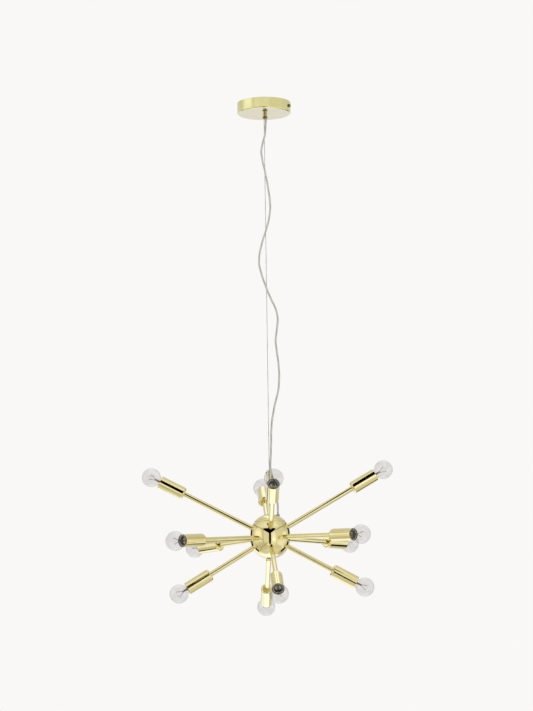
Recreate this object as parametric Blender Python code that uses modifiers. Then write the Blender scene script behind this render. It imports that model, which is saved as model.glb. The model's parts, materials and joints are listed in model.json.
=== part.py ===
"""A ball-hub chandelier on a steel wire, in metres, +Z up, -Y the front.

The ceiling plane is z = 0. A shallow round canopy covers a bent ceiling bracket. A thin taut wire
and a loose power cord leave the canopy through one gland. The wire ends in the stem of a two-shell
hub, and the cord goes through a bush in the hub's lid. Twelve tubular arms in three rings of four
leave the hub, each with a lamp cup, a lampholder and a small globe bulb on its end.
"""

import math

import bmesh
import bpy
from mathutils import Matrix, Vector

GAP = 0.0003

# Canopy and ceiling fixing
CANOPY_R = 0.065
CANOPY_H = 0.0274
CANOPY_WALL = 0.0012
BRACKET_AZ = -24.0
BRACKET_HALF = 0.0625
BRACKET_WIDTH = 0.018
BRACKET_DROP = 0.019
BRACKET_THICK = 0.003
SIDE_SCREW_Z = -0.013
GLAND_X = 0.0024
GLAND_R = 0.00515
GLAND_BORE = 0.0040
GLAND_BOTTOM = -0.0384

# Suspension
SWIVEL_Z = -0.0409
SWIVEL_R = 0.00125
WIRE_R = 0.00075
CORD_R = 0.0024
CORD_SPACING = 0.0125

# Hub: two half balls, one above the other, with a short straight band between them and a lid
# above the seam. The ball centres' heights are from the point where the arms' axes meet.
HUB_Z = -1.057
HUB_R = 0.048
HUB_UPPER = 0.0076
HUB_LOWER = -0.0036
HUB_WALL = 0.0025
HUB_SEAM = 0.0369
STEM_R = 0.0065
STEM_TOP = 0.160
BUSH_X = 0.0194
FINIAL_R = 0.0105

# Arms: distance from the hub centre to the foot of the cup, for the three arm lengths
LONG, MEDIUM, SHORT = 0.228, 0.198, 0.166
RING_RISE = {"upper": 28.7, "lower": -29.7, "middle": -2.3}
MIDDLE_TURN = -1.6
HANG_TILT = 1.4
TUBE_R = 0.006
TUBE_BORE = 0.0048
TUBE_START = 0.0415
CUP_R = 0.015
CUP_LENGTH = 0.065
CUP_WALL = 0.001
BULB_R = 0.0225
BULB_CENTRE = 0.088

# name, bearing in degrees (0 = +X, -90 = the front), ring, distance to the cup's foot
ARMS = [
    ("upper_left", 180, "upper", LONG),
    ("upper_right", 0, "upper", LONG),
    ("upper_front", -90, "upper", SHORT),
    ("upper_back", 90, "upper", MEDIUM),
    ("middle_front_left", -135, "middle", LONG),
    ("middle_front_right", -45, "middle", MEDIUM),
    ("middle_back_left", 135, "middle", SHORT),
    ("middle_back_right", 45, "middle", MEDIUM),
    ("lower_left", 180, "lower", SHORT),
    ("lower_right", 0, "lower", SHORT),
    ("lower_front", -90, "lower", MEDIUM),
    ("lower_back", 90, "lower", LONG),
]

# The cord hangs slack in front of the wire and passes behind the stem. Millimetres: sideways,
# depth (plus = behind the wire), height above the hub centre.
CORD_ROUTE = [
    (4.2, 0.2, 1018.2),
    (3.4, -2.4, 1001.0),
    (0.5, -4.2, 974.0),
    (-4.9, -5.0, 955.0),
    (-8.3, -5.0, 934.0),
    (-5.3, -4.8, 911.0),
    (0.8, -4.6, 881.0),
    (7.2, -4.6, 844.0),
    (11.5, -4.6, 804.0),
    (8.8, -4.6, 773.0),
    (1.7, -4.8, 745.0),
    (-8.7, -5.5, 713.0),
    (-16.4, -6.0, 680.0),
    (-16.9, -6.0, 655.0),
    (-10.1, -5.6, 627.0),
    (-0.4, -5.0, 599.0),
    (8.9, -5.4, 575.0),
    (20.0, -5.0, 551.0),
    (25.5, -3.0, 528.0),
    (24.0, -1.0, 504.0),
    (20.2, 1.0, 474.0),
    (21.9, 2.0, 451.0),
    (26.0, 3.0, 418.0),
    (27.5, 4.0, 386.0),
    (24.6, 5.0, 351.0),
    (15.7, 5.6, 316.0),
    (8.6, 5.8, 278.0),
    (6.6, 6.2, 251.0),
    (6.0, 7.0, 226.0),
    (4.6, 8.2, 194.0),
    (3.4, 9.4, 167.0),
    (6.9, 9.0, 149.0),
    (12.6, 6.2, 123.0),
    (17.4, 2.6, 96.0),
    (19.3, 0.5, 73.0),
    (19.4, 0.0, 55.0),
]


def clear_scene():
    for ob in list(bpy.data.objects):
        bpy.data.objects.remove(ob, do_unlink=True)
    for old in list(bpy.data.collections):
        bpy.data.collections.remove(old)


def collection(name, hidden=False):
    made = bpy.data.collections.new(name)
    bpy.context.scene.collection.children.link(made)
    made.hide_render = hidden
    return made


def material(name, colour, roughness, metallic=0.0, alpha=1.0):
    made = bpy.data.materials.new(name)
    made.use_nodes = True
    shader = made.node_tree.nodes["Principled BSDF"]
    shader.inputs["Base Color"].default_value = (*colour, 1.0)
    shader.inputs["Roughness"].default_value = roughness
    shader.inputs["Metallic"].default_value = metallic
    shader.inputs["Alpha"].default_value = alpha
    return made


def add_object(name, mesh, finish, where):
    ob = bpy.data.objects.new(name, mesh)
    where.objects.link(ob)
    if finish:
        mesh.materials.append(finish)
    return ob


def clockwise(profile):
    """The profile with its outer side running down, so that the turned faces point outwards."""
    area = sum(a[0] * b[1] - b[0] * a[1] for a, b in zip(profile, profile[1:] + profile[:1]))
    return profile if area < 0 else profile[::-1]


def lathe(name, profile, steps, finish, closed=False):
    """Turns a profile of (radius, height) about Z. A closed profile makes a ring, an open one ends on Z."""
    profile = clockwise(profile)
    mesh = bpy.data.meshes.new(name)
    edges = [(i, i + 1) for i in range(len(profile) - 1)]
    if closed:
        edges.append((len(profile) - 1, 0))
    mesh.from_pydata([(r, 0.0, z) for r, z in profile], edges, [])
    ob = add_object(name, mesh, finish, PARTS)
    turn = ob.modifiers.new("turn", "SCREW")
    turn.axis = "Z"
    turn.angle = math.tau
    turn.steps = turn.render_steps = steps
    turn.use_merge_vertices = True
    turn.merge_threshold = 1e-5
    turn.use_smooth_shade = True
    return ob


def cylinder_mesh(name, radius, depth, sides, middle=0.0):
    mesh = bpy.data.meshes.new(name)
    shape = bmesh.new()
    bmesh.ops.create_cone(
        shape, cap_ends=True, segments=sides, radius1=radius, radius2=radius, depth=depth,
        matrix=Matrix.Translation((0, 0, middle)),
    )
    shape.to_mesh(mesh)
    shape.free()
    return mesh


def box_mesh(name, low, high):
    mesh = bpy.data.meshes.new(name)
    shape = bmesh.new()
    size = [b - a for a, b in zip(low, high)]
    centre = [(a + b) / 2 for a, b in zip(low, high)]
    bmesh.ops.create_cube(
        shape, size=1.0, matrix=Matrix.Translation(centre) @ Matrix.Diagonal((*size, 1.0))
    )
    shape.to_mesh(mesh)
    shape.free()
    return mesh


def cutter(name, mesh):
    ob = add_object(name, mesh, None, CUTTERS)
    ob.hide_render = True
    ob.display_type = "WIRE"
    return ob


def boolean(ob, tool, operation="DIFFERENCE"):
    cut = ob.modifiers.new(operation.lower(), "BOOLEAN")
    cut.operation = operation
    cut.solver = "EXACT"
    cut.object = tool


def along(direction, origin=(0, 0, 0)):
    """A frame whose +Z runs along direction, from origin."""
    turn = Vector(direction).to_track_quat("Z", "Y").to_matrix().to_4x4()
    return Matrix.Translation(origin) @ turn


def bearing(degrees, rise=0.0):
    a, e = math.radians(degrees), math.radians(rise)
    return Vector((math.cos(e) * math.cos(a), math.cos(e) * math.sin(a), math.sin(e)))


def arm_direction(degrees, ring):
    """An arm's direction: its ring's rise, then the slight tilt at which the cluster hangs."""
    turn = MIDDLE_TURN if ring == "middle" else 0.0
    v = bearing(degrees + turn, RING_RISE[ring])
    t = math.radians(HANG_TILT)
    return Vector((v.x * math.cos(t) - v.z * math.sin(t), v.y, v.x * math.sin(t) + v.z * math.cos(t)))


def arc(radius, start, end, steps, centre=0.0):
    """Points (r, z) on a circle, by angle from the top pole in degrees."""
    angles = [math.radians(start + (end - start) * i / steps) for i in range(steps + 1)]
    return [(radius * math.sin(a), centre + radius * math.cos(a)) for a in angles]


def polar(radius, height, centre=HUB_UPPER):
    """The angle from the pole at which a ball about centre reaches this height."""
    return math.degrees(math.acos((height - centre) / radius))


def polar_r(radius, across):
    """The angle from the pole at which a ball reaches this distance from the axis."""
    return math.degrees(math.asin(across / radius))


# ---- canopy -----------------------------------------------------------------------------------


def make_bracket():
    """A flat bar against the ceiling with both ends bent down, tapped for the side screws."""
    half, width = BRACKET_HALF, BRACKET_WIDTH / 2
    bar = add_object(
        "ceiling_bracket", box_mesh("bar", (-half, -width, -BRACKET_DROP), (half, width, 0.0)),
        STEEL, PARTS,
    )
    inner = half - BRACKET_THICK
    tools = [
        cutter("bracket_inside", box_mesh("inside", (-inner, -0.02, -0.03), (inner, 0.02, -BRACKET_THICK))),
        cutter("bracket_tap", cylinder_mesh("tap", 0.0024, 0.2, 12)),
        cutter("bracket_screw_near", cylinder_mesh("near", 0.0026, 0.02, 12)),
        cutter("bracket_screw_far", cylinder_mesh("far", 0.0026, 0.02, 12)),
    ]
    turn = Matrix.Rotation(math.radians(BRACKET_AZ), 4, "Z")
    bar.matrix_world = turn
    tools[0].matrix_world = turn
    tools[1].matrix_world = along(bearing(BRACKET_AZ), (0, 0, SIDE_SCREW_Z))
    for tool, side in zip(tools[2:], (1, -1)):
        tool.matrix_world = Matrix.Translation(bearing(BRACKET_AZ) * 0.030 * side)
    for tool in tools:
        boolean(bar, tool)


def make_canopy():
    """The canopy: a shallow cup, open to the ceiling, with a rounded lower edge."""
    floor = -CANOPY_H
    inner = CANOPY_R - CANOPY_WALL
    profile = [
        (0.0, floor + CANOPY_WALL),
        (inner - 0.0026, floor + CANOPY_WALL),
        (inner, floor + CANOPY_WALL + 0.0026),
        (inner, -GAP),
        (CANOPY_R, -GAP),
        (CANOPY_R, floor + 0.0034),
        (CANOPY_R - 0.0010, floor + 0.0010),
        (CANOPY_R - 0.0034, floor),
        (0.0, floor),
    ]
    cup = lathe("canopy_cup", profile, 32, CANOPY_BRASS)
    gland_hole = cutter("canopy_gland_hole", cylinder_mesh("gland_hole", GLAND_R + 0.0004, 0.01, 16))
    gland_hole.matrix_world = Matrix.Translation((GLAND_X, 0, floor))
    screw_hole = cutter("canopy_screw_hole", cylinder_mesh("screw_hole", 0.0026, 0.02, 12, CANOPY_R))
    screw_hole.matrix_world = along(bearing(BRACKET_AZ), (0, 0, SIDE_SCREW_Z))
    boolean(cup, gland_hole)
    boolean(cup, screw_hole)


def make_side_screw():
    """The canopy's side screw: a knurled head outside and a shank in the bracket's tapped end."""
    profile = [
        (0.0, CANOPY_R + 0.0036),
        (0.0034, CANOPY_R + 0.0036),
        (0.0041, CANOPY_R + 0.0030),
        (0.0041, CANOPY_R + 0.0004),
        (0.0020, CANOPY_R + 0.0004),
        (0.0020, BRACKET_HALF - 0.0050),
        (0.0, BRACKET_HALF - 0.0050),
    ]
    screw = lathe("canopy_side_screw", profile, 12, DARK_BRASS)
    screw.matrix_world = along(bearing(BRACKET_AZ), (0, 0, SIDE_SCREW_Z))


def make_gland():
    """The gland under the canopy: a threaded tube with a lock ring inside and a mouth ring below."""
    floor = -CANOPY_H
    profile = [
        (GLAND_BORE, floor + 0.0125),
        (GLAND_R, floor + 0.0125),
        (GLAND_R, floor + CANOPY_WALL + 0.0030),
        (0.0078, floor + CANOPY_WALL + 0.0030),
        (0.0078, floor + CANOPY_WALL + GAP),
        (GLAND_R, floor + CANOPY_WALL + GAP),
        (GLAND_R, GLAND_BOTTOM + 0.0042),
        (0.0061, GLAND_BOTTOM + 0.0038),
        (0.0061, GLAND_BOTTOM + 0.0006),
        (0.0055, GLAND_BOTTOM),
        (GLAND_BORE, GLAND_BOTTOM),
    ]
    gland = lathe("canopy_gland", profile, 16, GLAND_BRASS, closed=True)
    gland.location = (GLAND_X, 0, 0)


# ---- suspension -------------------------------------------------------------------------------


def make_swivel():
    """The ball on the wire's upper end, about which everything below swings."""
    mesh = bpy.data.meshes.new("wire_swivel")
    shape = bmesh.new()
    bmesh.ops.create_uvsphere(shape, u_segments=12, v_segments=8, radius=SWIVEL_R)
    for face in shape.faces:
        face.smooth = True
    shape.to_mesh(mesh)
    shape.free()
    add_object("wire_swivel", mesh, STEEL, PARTS).location = (0, 0, SWIVEL_Z)


def make_wire():
    """The taut wire, from just under the swivel ball to the bore in the stem's top."""
    top = -(SWIVEL_R + 0.0004)
    bottom = HUB_Z + STEM_TOP - 0.012 - SWIVEL_Z
    profile = [(0.0, top), (WIRE_R, top), (WIRE_R, bottom), (0.0, bottom)]
    wire = lathe("suspension_wire", profile, 12, WIRE_STEEL)
    wire.location = (0, 0, SWIVEL_Z)


def smooth_route(points, spacing):
    """Points at about this spacing on a smooth curve through the given ones."""
    knots = [Vector(p) for p in points]
    knots = [2 * knots[0] - knots[1], *knots, 2 * knots[-1] - knots[-2]]
    fine = []
    for a, b, c, d in zip(knots, knots[1:], knots[2:], knots[3:]):
        for step in range(16):
            t = step / 16
            fine.append(
                0.5 * (2 * b + (c - a) * t + (2 * a - 5 * b + 4 * c - d) * t**2
                       + (3 * b - a - 3 * c + d) * t**3)
            )
    fine.append(knots[-2])
    runs = [0.0]
    for a, b in zip(fine, fine[1:]):
        runs.append(runs[-1] + (b - a).length)
    count = round(runs[-1] / spacing)
    route, at = [], 0
    for i in range(count + 1):
        wanted = runs[-1] * i / count
        while at < len(runs) - 2 and runs[at + 1] < wanted:
            at += 1
        share = (wanted - runs[at]) / (runs[at + 1] - runs[at])
        route.append(fine[at].lerp(fine[at + 1], share))
    return route


def make_cord():
    """The power cord: a round tube that hangs slack beside the wire."""
    points = [Vector((x, y, z)) * 0.001 + Vector((0, 0, HUB_Z)) for x, y, z in CORD_ROUTE]
    route = smooth_route(points, CORD_SPACING)
    curve = bpy.data.curves.new("power_cord", "CURVE")
    curve.dimensions = "3D"
    curve.bevel_depth = CORD_R
    curve.bevel_resolution = 2
    curve.use_fill_caps = True
    curve.resolution_u = 1
    curve.render_resolution_u = 0
    line = curve.splines.new("POLY")
    line.points.add(len(route) - 1)
    for point, place in zip(line.points, route):
        point.co = (*place, 1.0)
    add_object("power_cord", curve, CORD_PLASTIC, PARTS)


# ---- hub --------------------------------------------------------------------------------------


def hub_outer(start, end, steps):
    return arc(HUB_R, start, end, steps, HUB_UPPER)


def hub_inner(start, end, steps):
    return arc(HUB_R - HUB_WALL, start, end, steps, HUB_UPPER)


def make_hub_body():
    """The lower shell: open at the seam, drilled for the twelve arms and for the finial's stud."""
    inner_r = HUB_R - HUB_WALL
    stud = 0.0034
    outer = hub_outer(polar(HUB_R, HUB_SEAM), 90, 3)
    outer += arc(HUB_R, 90, 180 - polar_r(HUB_R, stud), 6, HUB_LOWER)
    inner = arc(inner_r, 180 - polar_r(inner_r, stud), 90, 5, HUB_LOWER)
    inner += hub_inner(90, polar(inner_r, HUB_SEAM), 2)
    body = lathe("hub_body", outer + inner, 24, HUB_BRASS, closed=True)
    body.location = (0, 0, HUB_Z)
    drills = bmesh.new()
    for _, degrees, ring, _ in ARMS:
        frame = along(arm_direction(degrees, ring))
        bmesh.ops.create_cone(
            drills, cap_ends=True, segments=12, radius1=TUBE_R + 0.0006, radius2=TUBE_R + 0.0006,
            depth=0.020, matrix=frame @ Matrix.Translation((0, 0, 0.048)),
        )
    mesh = bpy.data.meshes.new("hub_drills")
    drills.to_mesh(mesh)
    drills.free()
    tool = cutter("hub_drills", mesh)
    tool.location = (0, 0, HUB_Z)
    boolean(body, tool)


def make_hub_lid():
    """The upper shell: a dome with a lip inside the body, bored for the stem and for the bush."""
    base = HUB_SEAM + 0.00035
    inner_r = HUB_R - HUB_WALL
    stem = 0.0046
    lip_out, lip_in = 0.0322, 0.0306
    profile = hub_outer(polar_r(HUB_R, stem), polar(HUB_R, base), 4)
    profile += [(lip_out, base), (lip_out, base - 0.0038), (lip_in, base - 0.0038)]
    profile += hub_inner(polar_r(inner_r, lip_in), polar_r(inner_r, stem), 3)
    lid = lathe("hub_lid", profile, 24, HUB_BRASS, closed=True)
    lid.location = (0, 0, HUB_Z)
    hole = cutter("lid_bush_hole", cylinder_mesh("bush_hole", 0.0047, 0.03, 16))
    hole.matrix_world = Matrix.Translation((BUSH_X, 0, HUB_Z + 0.048))
    boolean(lid, hole)


def make_bush():
    """The cord's bush in the hub lid."""
    profile = [(0.0030, 0.0545), (0.0038, 0.0545), (0.0043, 0.0539), (0.0043, 0.0442), (0.0030, 0.0442)]
    bush = lathe("hub_cord_bush", profile, 12, DARK_PLASTIC, closed=True)
    bush.location = (BUSH_X, 0, HUB_Z)


def make_stem():
    """The stem on the hub, which grips the wire's end, with a small release pin near its top."""
    foot = HUB_UPPER + HUB_R + GAP
    profile = [
        (0.0, STEM_TOP - 0.0160),
        (0.0012, STEM_TOP - 0.0160),
        (0.0012, STEM_TOP),
        (0.0056, STEM_TOP),
        (STEM_R, STEM_TOP - 0.0010),
        (STEM_R, foot),
        (0.0042, foot),
        (0.0042, foot - 0.0090),
        (0.0, foot - 0.0090),
    ]
    stem = lathe("wire_stem", profile, 16, STEM_BRASS)
    stem.location = (0, 0, HUB_Z)
    pin = cutter("stem_pin", cylinder_mesh("pin", 0.0014, 0.0060, 10, STEM_R - 0.0008))
    pin.matrix_world = along((-1, 0, 0), (0, 0, HUB_Z + STEM_TOP - 0.0058))
    boolean(stem, pin, "UNION")


def make_finial():
    """The flat button under the hub, with the stud that it screws in by."""
    pole = HUB_LOWER - HUB_R
    profile = [
        (0.0, pole + 0.0093),
        (0.0029, pole + 0.0093),
        (0.0029, pole - 0.0006),
        (FINIAL_R, pole + 0.0007),
        (FINIAL_R, pole - 0.0039),
        (FINIAL_R - 0.0011, pole - 0.0051),
        (FINIAL_R - 0.0030, pole - 0.0055),
        (0.0, pole - 0.0055),
    ]
    lathe("hub_finial", profile, 20, HUB_BRASS).location = (0, 0, HUB_Z)


# ---- arms -------------------------------------------------------------------------------------


def make_tube(name, frame, foot):
    """An arm tube, from inside the hub's wall to inside the cup's foot."""
    profile = [(TUBE_BORE, foot + 0.010), (TUBE_R, foot + 0.010), (TUBE_R, TUBE_START), (TUBE_BORE, TUBE_START)]
    lathe("arm_tube_" + name, profile, 12, ARM_BRASS, closed=True).matrix_world = frame


def make_cup(name, frame):
    """A lamp cup: a straight turned cup with a rounded foot, bored for the arm tube."""
    inner = CUP_R - CUP_WALL
    profile = [
        (inner, CUP_LENGTH),
        (CUP_R, CUP_LENGTH),
        (CUP_R, 0.0050),
        (0.0137, 0.0013),
        (0.0105, 0.0),
        (TUBE_R + 0.0006, 0.0),
        (TUBE_R + 0.0006, 0.0014),
        (0.0104, 0.0014),
        (inner, 0.0056),
    ]
    lathe("lamp_cup_" + name, profile, 14, CUP_BRASS, closed=True).matrix_world = frame


def make_lampholder(name, frame):
    """The lampholder inside a cup: a plastic body with a blind socket."""
    profile = [
        (0.0, 0.0290),
        (0.0077, 0.0290),
        (0.0077, 0.0570),
        (0.0126, 0.0570),
        (0.0126, 0.0125),
        (0.0, 0.0125),
    ]
    lathe("lampholder_" + name, profile, 12, DARK_PLASTIC).matrix_world = frame


def make_bulb(name, frame):
    """A bulb: a screw cap, a short neck and a globe, blown thin and open through the cap."""
    profile = [
        (0.0, BULB_CENTRE + BULB_R - 0.0008),
        (0.0108, 0.1066),
        (0.0187, 0.0988),
        (0.0217, 0.0880),
        (0.0183, 0.0766),
        (0.0118, 0.0684),
        (0.0030, 0.0600),
        (0.0030, 0.0320),
        (0.0048, 0.0320),
        (0.0066, 0.0345),
        (0.0066, 0.0578),
        (0.0084, 0.0612),
        (0.0126, 0.0678),
        (0.0190, 0.0760),
        (BULB_R, 0.0880),
        (0.0194, 0.0994),
        (0.0112, 0.1075),
        (0.0, BULB_CENTRE + BULB_R),
    ]
    lathe("bulb_" + name, profile, 12, GLASS).matrix_world = frame


def make_arm(name, degrees, ring, foot):
    direction = arm_direction(degrees, ring)
    hub = Vector((0, 0, HUB_Z))
    make_tube(name, along(direction, hub), foot)
    frame = along(direction, hub + direction * foot)
    make_cup(name, frame)
    make_lampholder(name, frame)
    make_bulb(name, frame)


clear_scene()
PARTS = collection("multi_arm_chandelier")
CUTTERS = collection("cutters", hidden=True)

CANOPY_BRASS = material("canopy_brass", (0.80, 0.72, 0.44), 0.16, 1.0)
GLAND_BRASS = material("gland_brass", (0.76, 0.67, 0.38), 0.20, 1.0)
DARK_BRASS = material("dark_brass", (0.30, 0.24, 0.10), 0.35, 1.0)
HUB_BRASS = material("hub_brass", (0.82, 0.74, 0.45), 0.06, 1.0)
ARM_BRASS = material("arm_brass", (0.82, 0.74, 0.45), 0.08, 1.0)
CUP_BRASS = material("cup_brass", (0.82, 0.74, 0.45), 0.07, 1.0)
STEM_BRASS = material("stem_brass", (0.80, 0.72, 0.46), 0.15, 1.0)
STEEL = material("zinc_steel", (0.62, 0.63, 0.64), 0.35, 1.0)
WIRE_STEEL = material("wire_steel", (0.66, 0.66, 0.67), 0.40, 1.0)
CORD_PLASTIC = material("cord_plastic", (0.42, 0.42, 0.36), 0.35)
DARK_PLASTIC = material("dark_plastic", (0.035, 0.050, 0.042), 0.40)
GLASS = material("bulb_glass", (0.92, 0.93, 0.94), 0.02, 0.0, 0.35)

make_bracket()
make_canopy()
make_side_screw()
make_gland()
make_swivel()
make_wire()
make_cord()
make_hub_body()
make_hub_lid()
make_bush()
make_stem()
make_finial()
for arm in ARMS:
    make_arm(*arm)
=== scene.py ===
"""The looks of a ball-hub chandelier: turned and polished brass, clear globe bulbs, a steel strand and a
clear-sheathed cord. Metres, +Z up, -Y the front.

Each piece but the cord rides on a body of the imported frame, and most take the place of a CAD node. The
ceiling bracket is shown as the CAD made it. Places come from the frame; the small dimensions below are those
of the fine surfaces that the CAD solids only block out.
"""

import json
import math

import bmesh
import bpy
from mathutils import Matrix, Vector


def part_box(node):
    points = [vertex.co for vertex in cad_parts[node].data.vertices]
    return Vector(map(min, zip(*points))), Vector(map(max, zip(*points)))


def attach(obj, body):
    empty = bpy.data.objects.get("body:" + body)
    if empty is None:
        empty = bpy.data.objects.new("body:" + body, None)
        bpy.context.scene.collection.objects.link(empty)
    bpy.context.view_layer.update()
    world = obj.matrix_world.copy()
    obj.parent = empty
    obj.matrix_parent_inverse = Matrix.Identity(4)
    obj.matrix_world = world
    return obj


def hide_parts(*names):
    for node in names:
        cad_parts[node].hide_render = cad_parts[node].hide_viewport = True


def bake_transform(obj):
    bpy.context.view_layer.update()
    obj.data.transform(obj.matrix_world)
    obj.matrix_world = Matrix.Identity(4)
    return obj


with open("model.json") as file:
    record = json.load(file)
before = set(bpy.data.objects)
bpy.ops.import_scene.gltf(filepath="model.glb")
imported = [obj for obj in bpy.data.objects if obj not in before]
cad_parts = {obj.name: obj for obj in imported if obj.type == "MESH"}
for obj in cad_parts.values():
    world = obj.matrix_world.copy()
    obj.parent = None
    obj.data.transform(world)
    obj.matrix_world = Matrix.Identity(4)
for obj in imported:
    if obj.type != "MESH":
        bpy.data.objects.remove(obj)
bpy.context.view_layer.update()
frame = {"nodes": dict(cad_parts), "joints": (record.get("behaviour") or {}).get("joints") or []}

# Places read from the frame
STEM_TOP = 0.160
HUB = Vector((0.0, 0.0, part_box("wire_stem")[1].z - STEM_TOP))
ARMS = [node.removeprefix("lamp_cup_") for node in frame["nodes"] if node.startswith("lamp_cup_")]
JOINTS = {joint["name"]: joint for joint in frame["joints"]}

# Camera
CAMERA_AWAY = 5.5
CAMERA_BELOW_HUB = 0.314
CAMERA_BEARING = math.radians(3.358)
CAMERA_HEADING = CAMERA_BEARING - math.radians(0.0254)
CAMERA_PITCH = math.radians(7.766)
CAMERA_ROLL = math.radians(0.832)
CAMERA_LENS = 117.07
SENSOR = 36.0

# Studio
FLOOR_Z = -2.45
FLOOR_R = 18.0
BACKGROUND = (0.947, 0.939, 0.922)

# The gap under a ring or a foot that rests on another piece
SNUG = 0.0003

# Canopy, its side screw and the gland
CANOPY_R = 0.065
CANOPY_H = 0.0274
CANOPY_WALL = 0.0012
CANOPY_TOP = -0.0003
SCREW_HEAD_R = 0.0041
SCREW_FACE_R = 0.0035
SCREW_SHANK_R = 0.0020
SCREW_STANDS_OUT = 0.0036
SCREW_REACHES_IN = 0.0075
GLAND_X = 0.0024
GLAND_R = 0.00515
GLAND_BORE = 0.0040
GLAND_RISE = 0.0125
GLAND_MOUTH = -0.0384
LOCK_RING_R = 0.0078
LOCK_RING_TOP = 0.0030
MOUTH_RING_R = 0.0061
MOUTH_RING_HEIGHT = 0.0042

# Suspension
WIRE_R = 0.00075
WIRE_LAY = 0.011
CORD_R = 0.0024
CORD_STEP = 0.004
CORD_TWIST = 0.032

# Hub, stem and finial, by height above the point where the arms' axes meet
HUB_R = 0.048
HUB_UPPER = 0.0076
HUB_LOWER = -0.0036
HUB_WALL = 0.0025
HUB_SEAM = 0.0369
SEAM_GAP = 0.0010
SEAM_DEPTH = 0.0012
SEAM_ROLL = 0.0014
SPIGOT_R = 0.0322
SPIGOT_INNER_R = 0.0306
SPIGOT_DEPTH = 0.0038
STUD_HOLE_R = 0.0034
STEM_R = 0.0065
STEM_BORE = 0.0012
STEM_HOLE_R = 0.0046
STEM_PEG_R = 0.0042
STEM_PEG = 0.0090
PIN_R = 0.0014
PIN_BELOW_TOP = 0.0058
BUTTON_R = 0.0105
BUTTON_STUD_R = 0.0029
BUTTON_THICK = 0.0055
BUSH_X = 0.0194
BUSH_R = 0.0043
BUSH_BORE = 0.0030
BUSH_LOW, BUSH_HIGH = 0.0442, 0.0545

# Arms and lamps, by height above the cup's foot
TUBE_R = 0.006
TUBE_BORE = 0.0048
CUP_R = 0.015
CUP_LENGTH = 0.065
CUP_FLOOR = 0.0014
CUP_WALL = 0.001
HOLDER_R = 0.0126
HOLDER_BORE = 0.0079
HOLDER_FOOT = 0.0125
HOLDER_FLOOR = 0.0290
HOLDER_MOUTH = 0.0560
SHELL_R = 0.0078
SHELL_INNER_R = 0.00735
SHELL_LOW, SHELL_HIGH = 0.0310, 0.0562
COLLAR_R = 0.01385
COLLAR_LOW = 0.0572
RING_INNER_R, RING_OUTER_R = 0.0106, 0.01205
THREAD_PITCH = 0.0028
CAP_R = 0.0066
CAP_LOW, CAP_HIGH = 0.0355, 0.0575
BULB_R = 0.0225
BULB_CENTRE = 0.088
BULB_NECK = 0.0570
BULB_NECK_ENDS = 140  # degrees from the crown
LEAD_R = 0.00055
FILAMENT_Z = 0.0912
FILAMENT_HALF = 0.0070
FILAMENT_TURNS = 34
FILAMENT_COIL_R = 0.00024
FILAMENT_WIRE_R = 0.00007

# The cord's route, as in the CAD model: millimetres sideways, in depth and above the hub's centre
CORD_ROUTE = [
    (4.2, 0.2, 1018.2), (3.4, -2.4, 1001.0), (0.5, -4.2, 974.0), (-4.9, -5.0, 955.0),
    (-8.3, -5.0, 934.0), (-5.3, -4.8, 911.0), (0.8, -4.6, 881.0), (7.2, -4.6, 844.0),
    (11.5, -4.6, 804.0), (8.8, -4.6, 773.0), (1.7, -4.8, 745.0), (-8.7, -5.5, 713.0),
    (-16.4, -6.0, 680.0), (-16.9, -6.0, 655.0), (-10.1, -5.6, 627.0), (-0.4, -5.0, 599.0),
    (8.9, -5.4, 575.0), (20.0, -5.0, 551.0), (25.5, -3.0, 528.0), (24.0, -1.0, 504.0),
    (20.2, 1.0, 474.0), (21.9, 2.0, 451.0), (26.0, 3.0, 418.0), (27.5, 4.0, 386.0),
    (24.6, 5.0, 351.0), (15.7, 5.6, 316.0), (8.6, 5.8, 278.0), (6.6, 6.2, 251.0),
    (6.0, 7.0, 226.0), (4.6, 8.2, 194.0), (3.4, 9.4, 167.0), (6.9, 9.0, 149.0),
    (12.6, 6.2, 123.0), (17.4, 2.6, 96.0), (19.3, 0.5, 73.0), (19.4, 0.0, 55.0),
]


# ---- meshes -----------------------------------------------------------------------------------


def along(direction, origin, roll=0.0):
    """A frame whose +Z runs along direction, from origin."""
    turn = Vector(direction).to_track_quat("Z", "Y").to_matrix().to_4x4()
    return Matrix.Translation(origin) @ turn @ Matrix.Rotation(roll, 4, "Z")


def towards(bearing, rise):
    """The direction at a bearing from the front (+ towards +X) and a rise, in degrees."""
    b, e = math.radians(bearing), math.radians(rise)
    return Vector((math.sin(b) * math.cos(e), -math.cos(b) * math.cos(e), math.sin(e)))


def arc(radius, start, end, steps, centre):
    """Points (r, z) on a ball about (0, centre), by angle from its top pole in degrees."""
    angles = [math.radians(start + (end - start) * i / steps) for i in range(steps + 1)]
    return [(radius * math.sin(a), centre + radius * math.cos(a)) for a in angles]


def polar(radius, height, centre):
    """The angle from the pole at which a ball about centre reaches this height."""
    return math.degrees(math.acos((height - centre) / radius))


def polar_r(radius, across):
    """The angle from the pole at which a ball reaches this distance from the axis."""
    return math.degrees(math.asin(across / radius))


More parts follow.
